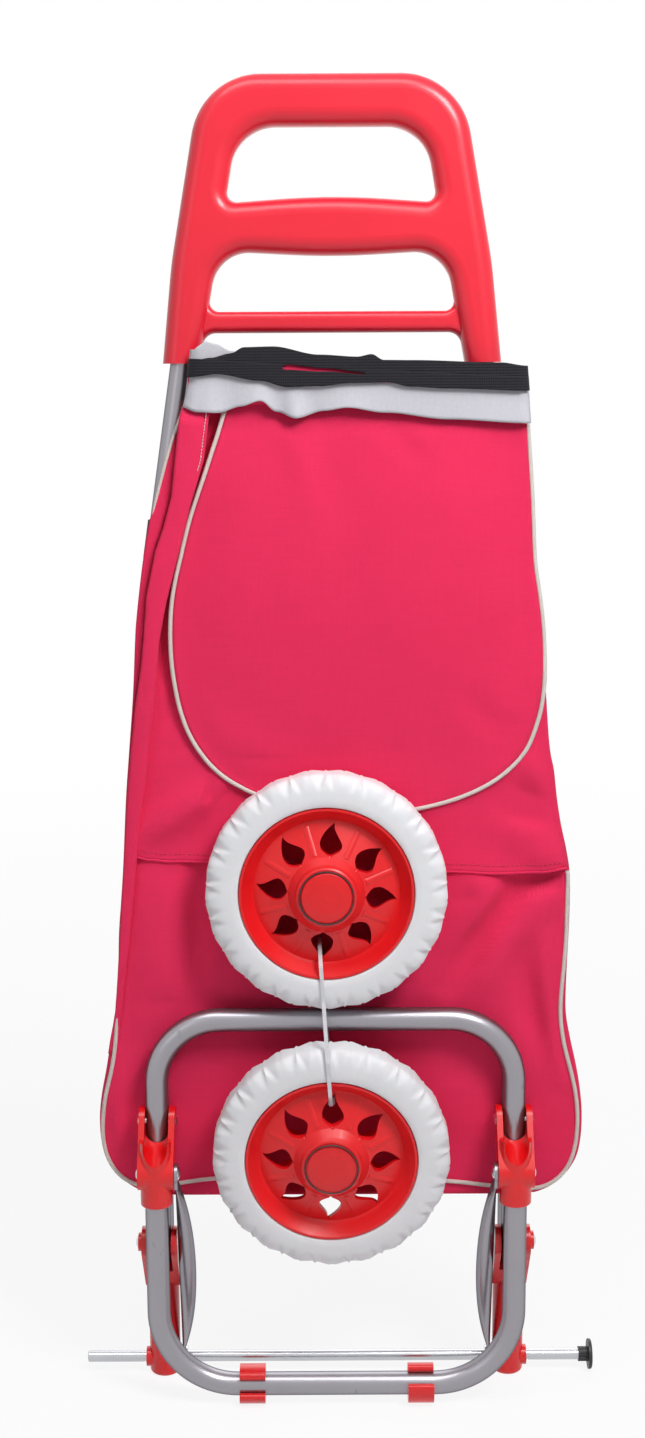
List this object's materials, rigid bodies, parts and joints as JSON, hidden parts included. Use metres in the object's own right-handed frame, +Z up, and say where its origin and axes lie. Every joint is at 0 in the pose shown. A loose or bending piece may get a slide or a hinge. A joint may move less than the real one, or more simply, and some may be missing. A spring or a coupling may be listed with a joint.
{
  "type": "shopping_trolley",
  "caption": "Folding shopping trolley packed flat: red ladder handle, silver tube frame with fold-down platform and feet, crimson fabric bag, white-tyred wheels tied on in front.",
  "frame": {"origin": "middle of the base, on the floor that the folded trolley stands on", "axes": "+Z up, +X to the right of someone facing the bag, -Y to the front, where the wheels are tied"},
  "size_m": [0.365, 0.0786, 0.904],
  "materials": {
    "handle_plastic": "glossy red moulding",
    "red_plastic": "glossy red moulding",
    "silver_tube": "silver-grey powder coat",
    "axle_steel": "bright drawn rod",
    "rivet_steel": "bright plated",
    "black_plastic": "matt",
    "rim_plastic": "glossy red moulding",
    "tyre_foam": "white foam, satin",
    "tie_nylon": "milky, translucent",
    "bag_fabric": "woven polyester, crimson",
    "piping_cord": "covered cord, cream",
    "lining_fabric": "smooth grey-white lining",
    "black_webbing": "woven webbing"
  },
  "bodies": {
    "frame": {"handle": "handle_plastic", "handle_screws": "rivet_steel", "lower_cross_tube": "silver_tube", "upper_cross_tube": "silver_tube", "axle": "axle_steel", "axle_cap": "black_plastic", "axle_push_rings": "rivet_steel", "bracket_screws": "rivet_steel", "bag_body": "bag_fabric", "bag_front_panel": "bag_fabric", "bag_lid_flap": "bag_fabric", "flap_piping": "piping_cord", "body_piping": "piping_cord", "lining_band": "lining_fabric", "webbing_band": "black_webbing", "main_tube_left": "silver_tube", "main_tube_right": "silver_tube", "wheel_bracket_left": "red_plastic", "wheel_bracket_right": "red_plastic", "bracket_rivet_left": "rivet_steel", "bracket_rivet_right": "rivet_steel", "bag_tube_straps_left": "black_webbing", "bag_tube_straps_right": "black_webbing"},
    "platform": {"platform_tube": "silver_tube", "cable_tie": "tie_nylon"},
    "feet": {"feet_tube": "silver_tube", "connector_left": "red_plastic", "connector_right": "red_plastic", "connector_pivot_left": "rivet_steel", "connector_pivot_right": "rivet_steel", "feet_tube_rivet_left": "rivet_steel", "feet_tube_rivet_right": "rivet_steel", "foot_clip_left": "red_plastic", "foot_clip_right": "red_plastic"},
    "strut_left": {"strut_left": "silver_tube", "strut_stud_left": "rivet_steel"},
    "strut_right": {"strut_right": "silver_tube", "strut_stud_right": "rivet_steel"},
    "upper_wheel": {"upper_wheel_tyre": "tyre_foam", "upper_wheel_rim": "rim_plastic", "upper_wheel_hub_cap": "rim_plastic"},
    "lower_wheel": {"lower_wheel_tyre": "tyre_foam", "lower_wheel_rim": "rim_plastic", "lower_wheel_hub_cap": "rim_plastic"}
  },
  "joints": [
    {"name": "platform_fold", "type": "hinge", "parent": "frame", "child": "platform", "pos_m": [-0.0025, -0.00154, 0.111], "axis": [1, 0, 0], "range_deg": [0, 90]},
    {"name": "feet_fold", "type": "hinge", "parent": "platform", "child": "feet", "pos_m": [-0.0025, -0.00154, 0.201], "axis": [1, 0, 0], "range_deg": [-112.82, 0]},
    {"name": "strut_left_swing", "type": "hinge", "parent": "frame", "child": "strut_left", "pos_m": [-0.1138, 0.02346, 0.011], "axis": [1, 0, 0], "range_deg": [0, 45.8]},
    {"name": "strut_right_swing", "type": "hinge", "parent": "frame", "child": "strut_right", "pos_m": [0.1088, 0.02346, 0.011], "axis": [1, 0, 0], "range_deg": [0, 45.8]},
    {"name": "upper_wheel_turn", "type": "hinge", "parent": "platform", "child": "upper_wheel", "pos_m": [-0.008, -0.01004, 0.3685], "axis": [0, 1, 0], "range_deg": [-0.5, 4]},
    {"name": "lower_wheel_turn", "type": "hinge", "parent": "platform", "child": "lower_wheel", "pos_m": [-0.0055, -0.01464, 0.1815], "axis": [0, 0.9954, 0.0958], "range_deg": [-3, 2]}
  ],
  "couplings": [
    {"joint": "feet_fold", "follows": "platform_fold", "ratio": -1.2534},
    {"joint": "strut_left_swing", "follows": "platform_fold", "ratio": 0.50873},
    {"joint": "strut_right_swing", "follows": "platform_fold", "ratio": 0.50873}
  ]
}
